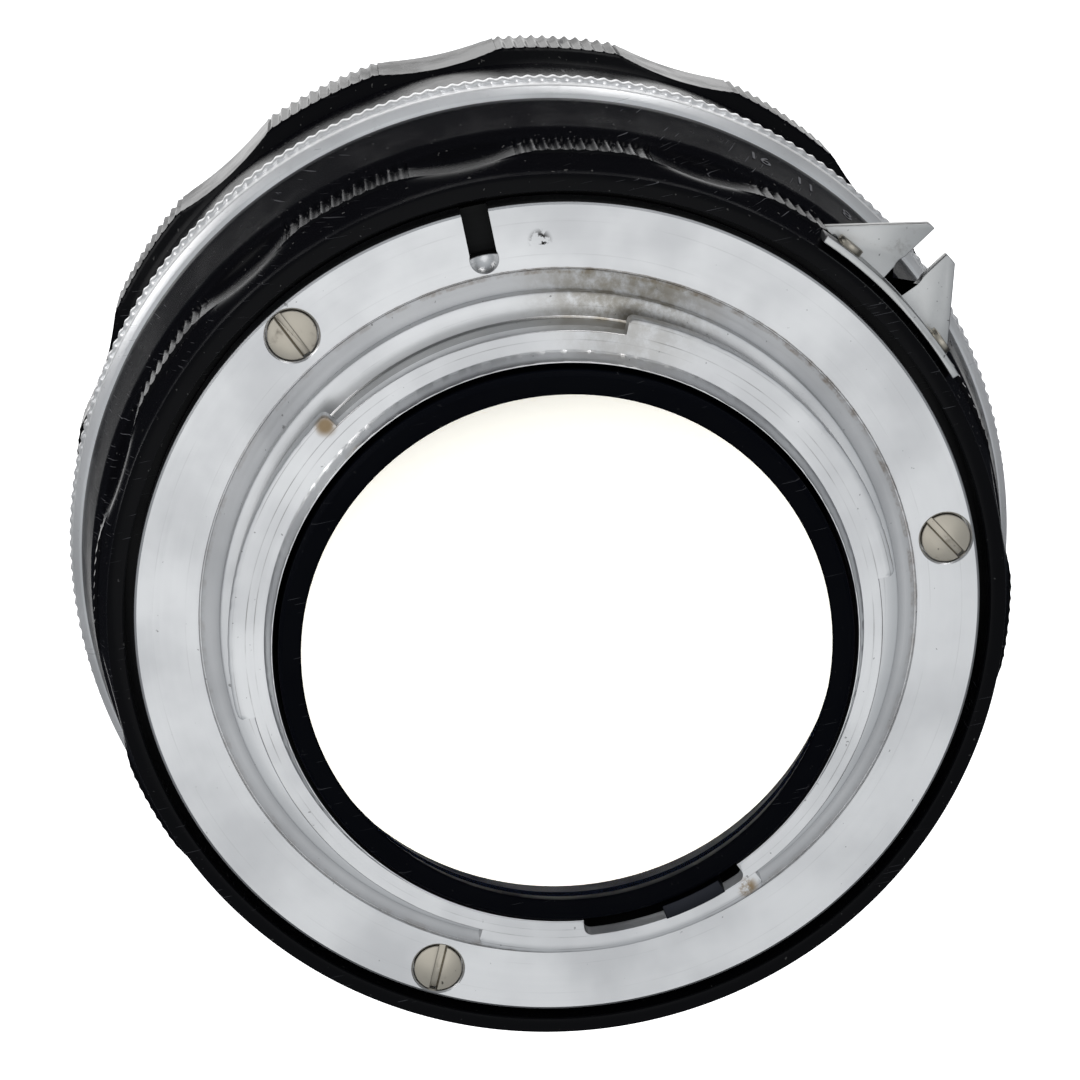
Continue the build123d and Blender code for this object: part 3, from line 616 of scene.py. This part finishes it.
def grip_shape(land_r, valley_r, half_sweep, knurl, flute, rib_depth, soft):
    """Radii of knurled lands with smooth flutes between them.

    knurl is where the ribs start and end along z, and flute where the flutes start to run out
    and where they have gone, both from the rear.
    """
    chord = land_r * math.sin(math.radians(half_sweep))
    rise = land_r * math.cos(math.radians(half_sweep)) - valley_r
    flute_r = (chord**2 + rise**2) / (2 * rise)
    centre_r = valley_r + flute_r
    pitch = math.degrees(RIB_PITCH / land_r)
    step = TURN / LANDS
    rib_rear, rib_front, rib_width = 0.15, 0.3, 0.8
    run_out_rise = 4

    def shape(radius, z, angle):
        from_flute = np.radians((angle - LAND_START) % step - step / 2)
        from_land = (angle - LAND_START + step / 2) % step - step / 2
        side = centre_r * np.sin(from_flute)
        flute_face = centre_r * np.cos(from_flute) - np.sqrt(np.maximum(flute_r**2 - side**2, 0))
        run_out = np.clip((flute[0] - z) / (flute[0] - flute[1]), 0, 1)
        flute_face = np.maximum(flute_face, valley_r) + run_out_rise * run_out**2
        on_land = np.abs(from_land) < RIBS * pitch / 2
        rib = (0.5 + 0.5 * np.cos(2 * np.pi * (from_land / pitch + 0.5 * (RIBS % 2)))) ** rib_width
        along = np.clip((knurl[0] - z) / rib_rear, 0, 1) * np.clip((z - knurl[1]) / rib_front, 0, 1)
        ribbed = radius - np.where(on_land, rib_depth * rib * along, 0)
        lower = soft_minimum(ribbed, flute_face, soft)
        return np.where(radius > valley_r - 0.3, np.minimum(ribbed, lower), radius)

    return shape


def make_aperture_ring():
    """Black ring: smooth rear cone, knurled lands with shallow flutes, flare and skirt."""
    skirt_front = RING_FRONT + 0.4
    land_rear, land_front = RING_KNURL[0] - 0.15, RING_KNURL[1] + 0.3
    outline = [
        (RING_BORE_R, RING_FRONT), (RING_SKIRT_R - 0.1, RING_FRONT), (RING_SKIRT_R, RING_FRONT + 0.1),
        *between((RING_SKIRT_R, skirt_front), (RING_FLARE_R, RING_FLARE_Z), 10), (RING_FLARE_R, RING_FLARE_Z),
        *((RING_FLARE_R - inwards, RING_FLARE_Z + back) for inwards, back in FLARE_CURVE),
        *between((RING_LAND_R, land_front), (RING_LAND_R, land_rear), 12), (RING_LAND_R, land_rear),
        (RING_LAND_R - 0.05, land_rear + 0.12), (RING_CONE_R, land_rear + 0.25),
        *between((RING_CONE_R - 0.05, land_rear + 0.4), (RING_RIM_R + 0.05, RING_RIM_FRONT - 0.15), 9),
        (RING_RIM_R, RING_RIM_FRONT), (RING_RIM_R, -0.25), (RING_RIM_R - 0.06, -0.08), (RING_RIM_R - 0.2, 0),
        (RING_GROOVE_R + 0.08, 0), (RING_GROOVE_R, -0.08), (RING_GROOVE_R, RING_GROOVE_Z),
        (RING_BORE_R, RING_GROOVE_Z),
    ]
    shape = grip_shape(
        RING_LAND_R, RING_VALLEY_R, RING_LAND_SWEEP, RING_KNURL, RING_FLUTES, RING_RIB_DEPTH, RING_CREST,
    )
    return lathe("aperture_ring_knurled", outline, even_turn(KNURLED_STEPS), shape)


def make_focus_ring():
    """Black ring: plain scale band, then high knurled lands with deep flutes."""
    land_rear, land_front = FOCUS_BAND_FRONT - 1.0, FOCUS_FRONT + 0.8
    chamfer = between((FOCUS_GRIP_R - 0.2, land_rear + 0.35), (FOCUS_BAND_R + 0.1, land_rear + 0.9), 6)
    outline = [
        (FOCUS_BORE_R, FOCUS_FRONT), (FOCUS_GRIP_R - 0.5, FOCUS_FRONT),
        (FOCUS_GRIP_R - 0.3, FOCUS_FRONT + 0.08), (FOCUS_GRIP_R, FOCUS_FRONT + 0.5),
        *between((FOCUS_GRIP_R, land_front), (FOCUS_GRIP_R, land_rear), 12), (FOCUS_GRIP_R, land_rear),
        (FOCUS_GRIP_R - 0.05, land_rear + 0.18), *chamfer, (FOCUS_BAND_R, FOCUS_BAND_FRONT),
        *between((FOCUS_BAND_R, FOCUS_BAND_FRONT + 0.4), (FOCUS_BAND_R, FOCUS_REAR - 0.6), 6),
        (FOCUS_BAND_R, FOCUS_REAR - 0.25), (FOCUS_BAND_R - 0.07, FOCUS_REAR - 0.07),
        (FOCUS_BAND_R - 0.25, FOCUS_REAR), (FOCUS_BORE_R, FOCUS_REAR),
        (FOCUS_BORE_R, FOCUS_SLEEVE[0]), (FOCUS_SLEEVE_R, FOCUS_SLEEVE[0]),
        (FOCUS_SLEEVE_R, FOCUS_SLEEVE[1]), (FOCUS_BORE_R, FOCUS_SLEEVE[1]),
    ]
    knurl = (FOCUS_BAND_FRONT - 0.8, FOCUS_FRONT + 0.1)
    shape = grip_shape(
        FOCUS_GRIP_R, FOCUS_VALLEY_R, FOCUS_LAND_SWEEP, knurl, NO_RUN_OUT, FOCUS_RIB_DEPTH, FOCUS_CREST,
    )
    return lathe("focus_ring_knurled", outline, even_turn(KNURLED_STEPS), shape)


# ---- bright ring with a serrated front half -----------------------------------------------
def make_grip_ring():
    bore = outer_radius("main_barrel")
    serrated_rear, smooth_rear = GRIP_STEP - 0.4, GRIP_REAR - 0.8
    outline = [
        (bore, GRIP_FRONT), (GRIP_R - 0.2, GRIP_FRONT), (GRIP_R - 0.04, GRIP_FRONT + 0.08),
        (GRIP_R, GRIP_FRONT + 0.2), *between((GRIP_R, GRIP_FRONT + 0.3), (GRIP_R, serrated_rear), 3),
        (GRIP_R, serrated_rear), (GRIP_R - 0.1, GRIP_STEP - 0.2), (GRIP_SMOOTH_R + 0.05, GRIP_STEP - 0.08),
        (GRIP_SMOOTH_R, GRIP_STEP),
        *between((GRIP_SMOOTH_R, GRIP_STEP + 0.2), (GRIP_SMOOTH_R, smooth_rear), 3),
        (GRIP_SMOOTH_R, GRIP_REAR - 0.64), (GRIP_SMOOTH_R - 0.06, GRIP_REAR - 0.45),
        (GRIP_EDGE_R + 0.1, GRIP_REAR - 0.08), (GRIP_EDGE_R - 0.05, GRIP_REAR), (bore, GRIP_REAR),
    ]

    def serrate(radius, z, angle):
        wave = 0.5 + 0.5 * np.cos(np.radians(GRIP_TEETH * angle))
        return np.where(radius > GRIP_SMOOTH_R + 0.02, radius - GRIP_TOOTH_DEPTH * wave, radius)

    return lathe("grip_ring_serrated", outline, even_turn(KNURLED_STEPS), serrate)


# ---- bayonet mount ------------------------------------------------------------------------
def rounded(inside, corner):
    """How far a round corner falls back, at a distance inside the corner's end."""
    short = np.maximum(corner - inside, 0)
    return corner - np.sqrt(np.maximum(corner**2 - short**2, 0))


def lug_edge(angle):
    """Outer radius of the lugs round the bayonet tube, with milled ends and round corners."""
    edge = np.full(np.shape(angle), BAYONET_R)
    half_turn = TURN / 2
    for start, end in LUGS:
        middle, half = (start + end) / 2, (end - start) / 2
        from_middle = np.abs((angle - middle + half_turn) % TURN - half_turn)
        inside = np.radians(half - from_middle) * LUG_R
        edge = np.where(inside > 0, LUG_R - np.minimum(rounded(inside, LUG_CORNER), LUG_CORNER), edge)
    return edge


def slot_bore(angle):
    """Radius of the throat, which widens to the lever slot with round corners."""
    middle, half = sum(LEVER_SLOT) / 2, (LEVER_SLOT[1] - LEVER_SLOT[0]) / 2
    inside = np.radians(half - np.abs(angle - middle)) * LEVER_SLOT_R
    return np.where(inside > 0, LEVER_SLOT_R - rounded(inside, LEVER_SLOT_CORNER), THROAT_R)


def mount_angles():
    """Even steps with close pairs at each lug end and slot end, so that those walls stand upright."""
    ends = [angle for lug in (*LUGS, LEVER_SLOT) for angle in lug]
    sides = (0.01, 0.12, 0.3, 0.6)
    walls = [end + sign * side for end in ends for side in sides for sign in (-1, 1)]
    return np.unique(np.concatenate([even_turn(1440), np.array(walls) % TURN]))


def mount_cutters():
    """Counterbores of the screws, and the notch of the lock pin with its round shallow end."""
    cutters = []
    axis_r, above = 0.02, 0.5
    outline = [
        (axis_r, COUNTERBORE_Z), (COUNTERBORE_R, COUNTERBORE_Z), (COUNTERBORE_R, -0.12),
        (COUNTERBORE_R + 0.14, 0.02), (COUNTERBORE_R + 0.3, above), (axis_r, above),
    ]
    for number, angle in enumerate(SCREW_ANGLES):
        hole = lathe(f"counterbore_{number}", outline, even_turn(64))
        hole.data.transform(Matrix.Translation(Vector((*polar(SCREW_PITCH_R, angle), 0)) * MM))
        cutters.append(hole)
    half = NOTCH_WIDTH / 2
    box = [(x, y, z) for x in (NOTCH_INNER_R, FLANGE_R + 1) for y in (-half, half) for z in (-NOTCH_DEPTH, 1)]
    sides = [(0, 1, 3, 2), (4, 6, 7, 5), (0, 4, 5, 1), (2, 3, 7, 6), (0, 2, 6, 4), (1, 5, 7, 3)]
    cutters.append(mesh("notch_channel", box, sides))
    ball = bmesh.new()
    bmesh.ops.create_uvsphere(ball, u_segments=48, v_segments=24, radius=NOTCH_END_R * MM)
    bmesh.ops.translate(ball, verts=ball.verts, vec=Vector((NOTCH_INNER_R - 0.2, 0, 0.42)) * MM)
    data = bpy.data.meshes.new("notch_end")
    ball.to_mesh(data)
    ball.free()
    end = bpy.data.objects.new("notch_end", data)
    scene.collection.objects.link(end)
    cutters.append(end)
    return cutters


def make_mount():
    """Turned flange, boss, bayonet tube with worn lugs, lip and lever slot."""
    outline = [
        (THROAT_R, -FLANGE_T), (FLANGE_R, -FLANGE_T), (FLANGE_R, -0.28), (FLANGE_R - 0.06, -0.1),
        (FLANGE_R - 0.22, 0), *between((FLANGE_R - 0.5, 0), (STEP_R + 0.2, 0), 5),
        (STEP_R + 0.12, 0), (STEP_R + 0.05, -0.05), (STEP_R + 0.05, -STEP_GROOVE),
        (STEP_R - 0.06, -STEP_GROOVE), (STEP_R - 0.06, -STEP_DEPTH - 0.02),
        (STEP_R - 0.12, -STEP_DEPTH), (STEP_R - 0.7, -STEP_DEPTH),
        (REGISTER_R + 0.12, -STEP_DEPTH), (REGISTER_R, -0.06), (REGISTER_R, REGISTER_H - 0.14),
        (REGISTER_R - 0.05, REGISTER_H - 0.04), (REGISTER_R - 0.16, REGISTER_H),
        (BAYONET_R + 0.5, REGISTER_H), (BAYONET_R + 0.12, REGISTER_H), (BAYONET_R, REGISTER_H + 0.12),
        (BAYONET_R, 2.4), (BAYONET_R, LUG_FOOT - 0.06), (LUG_R, LUG_FOOT), (LUG_R, 4.2),
        (LUG_R, LUG_TOP - 0.14), (LUG_R - 0.05, LUG_TOP - 0.04), (LUG_R - 0.15, LUG_TOP),
        (LUG_R - 0.6, LUG_TOP), (LIP_R + 0.5, LUG_TOP), (LIP_R + 0.1, LUG_TOP),
        (LIP_R - 0.02, LUG_TOP + 0.1), (LIP_R - 0.2, LUG_TOP + 0.7),
        (LIP_R - 0.36, LIP_TOP - 0.08), (LIP_R - 0.42, LIP_TOP), (THROAT_R + 0.02, LIP_TOP),
        (THROAT_R, LIP_TOP - 0.06), (THROAT_R, 3.0),
    ]

    def shape(radius, z, angle):
        edge = lug_edge(angle)
        chipped = edge - LUG_CHIP * np.maximum(wobble(angle, 3), 0) * (z > LUG_TOP - 0.2)
        inset = np.maximum(LUG_R - radius, 0)
        lug_r = np.maximum(chipped - inset, BAYONET_R - 0.4 * inset)
        lug = np.where((z > LUG_FOOT - 0.05) & (radius > BAYONET_R + 0.05), lug_r, radius)
        on_lip = (z > LUG_TOP + 0.05) & (radius > THROAT_R + 0.03)
        lip = lug + np.where(on_lip, LIP_DENT * wobble(angle, 5), 0)
        return np.maximum(lip, slot_bore(angle))

    mount = lathe("bayonet_mount_turned", outline, mount_angles(), shape)
    for cutter in mount_cutters():
        cut(mount, cutter)
    smooth(mount, SHARP)
    return mount


# ---- front barrel with its filter thread --------------------------------------------------
def make_front_barrel():
    rim = front_z("front_barrel")
    turns = between((THREAD_R, rim + 0.4), (THREAD_R, THREAD_REAR), 48)
    outline = [
        (27.0, THREAD_REAR + 0.1), (BARREL_SEAT_R, -40.0), (BARREL_SEAT_R, BARREL_REAR),
        (BARREL_R - 0.3, BARREL_REAR), (BARREL_R, BARREL_REAR - 0.3), (BARREL_R, -38.8),
        (BARREL_R - 0.2, -39.1), (BARREL_R - 0.7, -39.45), (30.9, -42.45), (29.2, -45.2), (29.0, -45.7),
        (28.8, rim + 0.2), (28.6, rim), (26.2, rim), (26.0, rim + 0.15), *turns, (THREAD_R, THREAD_REAR),
    ]

    def thread(radius, z, angle):
        wave = np.abs(((z / THREAD_PITCH + angle / TURN) % 1) - 0.5) * 2
        cutting = (radius < THREAD_R + 0.01) & (z < THREAD_REAR - 0.1)
        return np.where(cutting, radius + THREAD_DEPTH * wave, radius)

    return lathe("front_barrel_threaded", outline[::-1], even_turn(540), thread)


stand_for(make_aperture_ring(), "aperture_ring")
stand_for(make_focus_ring(), "focus_ring")
stand_for(make_grip_ring(), "grip_ring")
stand_for(make_mount(), "bayonet_mount")
stand_for(make_front_barrel(), "front_barrel")
for name, width in (
    ("mount_screws", 0.07), ("meter_prong", 0.07), ("stop_lever", 0.05), ("rear_baffle", 0.05),
    ("name_ring", 0.08), ("prong_screws", 0.05), ("grip_ring_screws", 0.04), ("focus_ring_screws", 0.04),
    ("rear_cell", 0.06), ("index_pin", 0.12), ("front_cell", 0.08),
):
    bevelled(name, width)


# ---- numbers on the dials -----------------------------------------------------------------
APERTURES = ("1.2", "1.4", "2", "2.8", "4", "5.6", "8", "11", "16")
STOP_STEP = 6.5
STOP_SIZE = 2.0
STOP_Z = -12.8
SKIRT_SLOPE = (RING_SKIRT_R - RING_FLARE_R) / (RING_FLARE_Z - RING_FRONT - 0.4)
STOP_R = RING_FLARE_R + SKIRT_SLOPE * (RING_FLARE_Z - STOP_Z)
METRES = (0.6, 0.7, 0.8, 0.9, 1, 1.2, 1.5, 2, 3, 5, 10)
METRE_SIZE = 1.9
METRE_Z = -25.5
PAINT_LIFT = 0.03


def numeral(text, radius, z, angle, size, body, colour, slope=0.0):
    """A painted number, bent round a ring or a cone. Its top points to the front of the lens."""
    curve = bpy.data.curves.new("numeral", "FONT")
    curve.body = text
    curve.size = size * MM
    curve.align_x = "CENTER"
    curve.align_y = "CENTER"
    flat = bpy.data.objects.new("numeral", curve)
    scene.collection.objects.link(flat)
    bpy.context.view_layer.update()
    data = bpy.data.meshes.new_from_object(flat.evaluated_get(bpy.context.evaluated_depsgraph_get()))
    bpy.data.objects.remove(flat)
    for vertex in data.vertices:
        turned = angle - math.degrees(vertex.co.x / MM / radius)
        forward = vertex.co.y / MM
        x, y = polar(radius + PAINT_LIFT + slope * forward, turned)
        vertex.co = Vector((x, y, z - forward)) * MM
    thing = bpy.data.objects.new(f"numeral_{body}_{text.replace('.', '_')}", data)
    scene.collection.objects.link(thing)
    data.materials.clear()
    data.materials.append(colour)
    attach(thing, body)


for stop, text in enumerate(APERTURES):
    angle = INDEX_ANGLE + STOP_STEP * stop
    numeral(text, STOP_R, STOP_Z, angle, STOP_SIZE, "aperture_ring", numeral_worn, SKIRT_SLOPE)
for metres in METRES:
    extension = FOCAL_LENGTH**2 / (metres / MM - FOCAL_LENGTH)
    angle = INDEX_ANGLE - FOCUS_TRAVEL * extension / FOCUS_EXTENSION
    numeral(f"{metres:g}", FOCUS_BAND_R, METRE_Z, angle, METRE_SIZE, "focus_ring", numeral_white)


# ---- camera, lights, floor ----------------------------------------------------------------
CAMERA_PLACE = (73.3, 1.82, 218.13)
CAMERA_RIGHT = (-0.1976, -0.9779, 0.0678)
CAMERA_AHEAD = (-0.2941, -0.0070, -0.9558)
CAMERA_LENS = 107.6
SENSOR = 36
LAMPS = (                                # name, place in metres, size, power
    ("overhead", (-0.04, 0.03, 0.70), 0.60, 0.56),
    ("card_left", (0.17, 0.20, 0.03), 0.10, 0.09),
    ("card_right", (0.25, -0.11, 0.03), 0.10, 0.09),
)
FLOOR_REACH = 1.5
FLOOR_GLOW = 1.3
FLOOR_TONES = ((0.80, 0.80, 0.80), (0.78, 0.78, 0.785))
ROOM_DARK = (0.02, 0.022, 0.027)
ROOM_PALE = (0.40, 0.42, 0.44)
TABLE_WHITE = (1.3, 1.3, 1.3)
BOUNCES = 24


def make_camera():
    """The camera looks down on the mount from the lock notch's side."""
    right = Vector(CAMERA_RIGHT).normalized()
    ahead = Vector(CAMERA_AHEAD).normalized()
    up = right.cross(ahead)
    data = bpy.data.cameras.new("camera")
    data.lens = CAMERA_LENS
    data.sensor_width = SENSOR
    camera = bpy.data.objects.new("camera", data)
    turn = Matrix((right, up, -ahead)).transposed().to_4x4()
    camera.matrix_world = Matrix.Translation(Vector(CAMERA_PLACE) * MM) @ turn
    scene.collection.objects.link(camera)
    scene.camera = camera


def lamp(name, place, size, power):
    """A soft square lamp, aimed at the lens."""
    data = bpy.data.lights.new(name, "AREA")
    data.size = size
    data.energy = power
    thing = bpy.data.objects.new(name, data)
    thing.location = place
    thing.rotation_euler = (-Vector(place)).to_track_quat("-Z", "Y").to_euler()
    scene.collection.objects.link(thing)


def make_floor():
    """A pale floor, lit from inside like a light table."""
    height = cad_bounds[0][2]
    corners = ((-1, -1), (1, -1), (1, 1), (-1, 1))
    points = [(FLOOR_REACH * x, FLOOR_REACH * y, height) for x, y in corners]
    data = bpy.data.meshes.new("floor")
    data.from_pydata(points, [], [(0, 1, 2, 3)])
    floor = bpy.data.objects.new("floor", data)
    scene.collection.objects.link(floor)
    finish = Finish("floor", 0.8, metallic=0.0)
    finish.bsdf.inputs["Emission Color"].default_value = (1, 1, 1, 1)
    finish.bsdf.inputs["Emission Strength"].default_value = FLOOR_GLOW
    speckle = noise(finish.tree, finish.place, 300, 4)
    data.materials.append(finish.done(blend(finish.tree, speckle, *FLOOR_TONES)))
    # gloss mirrors the world instead of the floor, so that the black rings stay black
    floor.visible_glossy = False


def make_world():
    """Soft room: grey above, dark at the sides and below, and white straight below like the table."""
    world = bpy.data.worlds.new("studio")
    world.use_nodes = True
    tree = world.node_tree
    direction = shader_node(tree, "TexCoord").outputs["Generated"]
    height = shader_node(tree, "SeparateXYZ", {0: direction}).outputs[2]
    room = blend(tree, ramp(tree, height, 0.0, 0.7), ROOM_DARK, ROOM_PALE)
    colour = blend(tree, ramp(tree, height, -0.88, -0.95), room, TABLE_WHITE)
    tree.links.new(colour, tree.nodes["Background"].inputs["Color"])
    tree.nodes["Background"].inputs["Strength"].default_value = 1.0
    scene.world = world


make_camera()
make_floor()
make_world()
for name, place, size, power in LAMPS:
    lamp(name, place, size, power)
scene.view_settings.view_transform = "Standard"
scene.view_settings.look = "None"
scene.cycles.max_bounces = BOUNCES
scene.cycles.transmission_bounces = BOUNCES
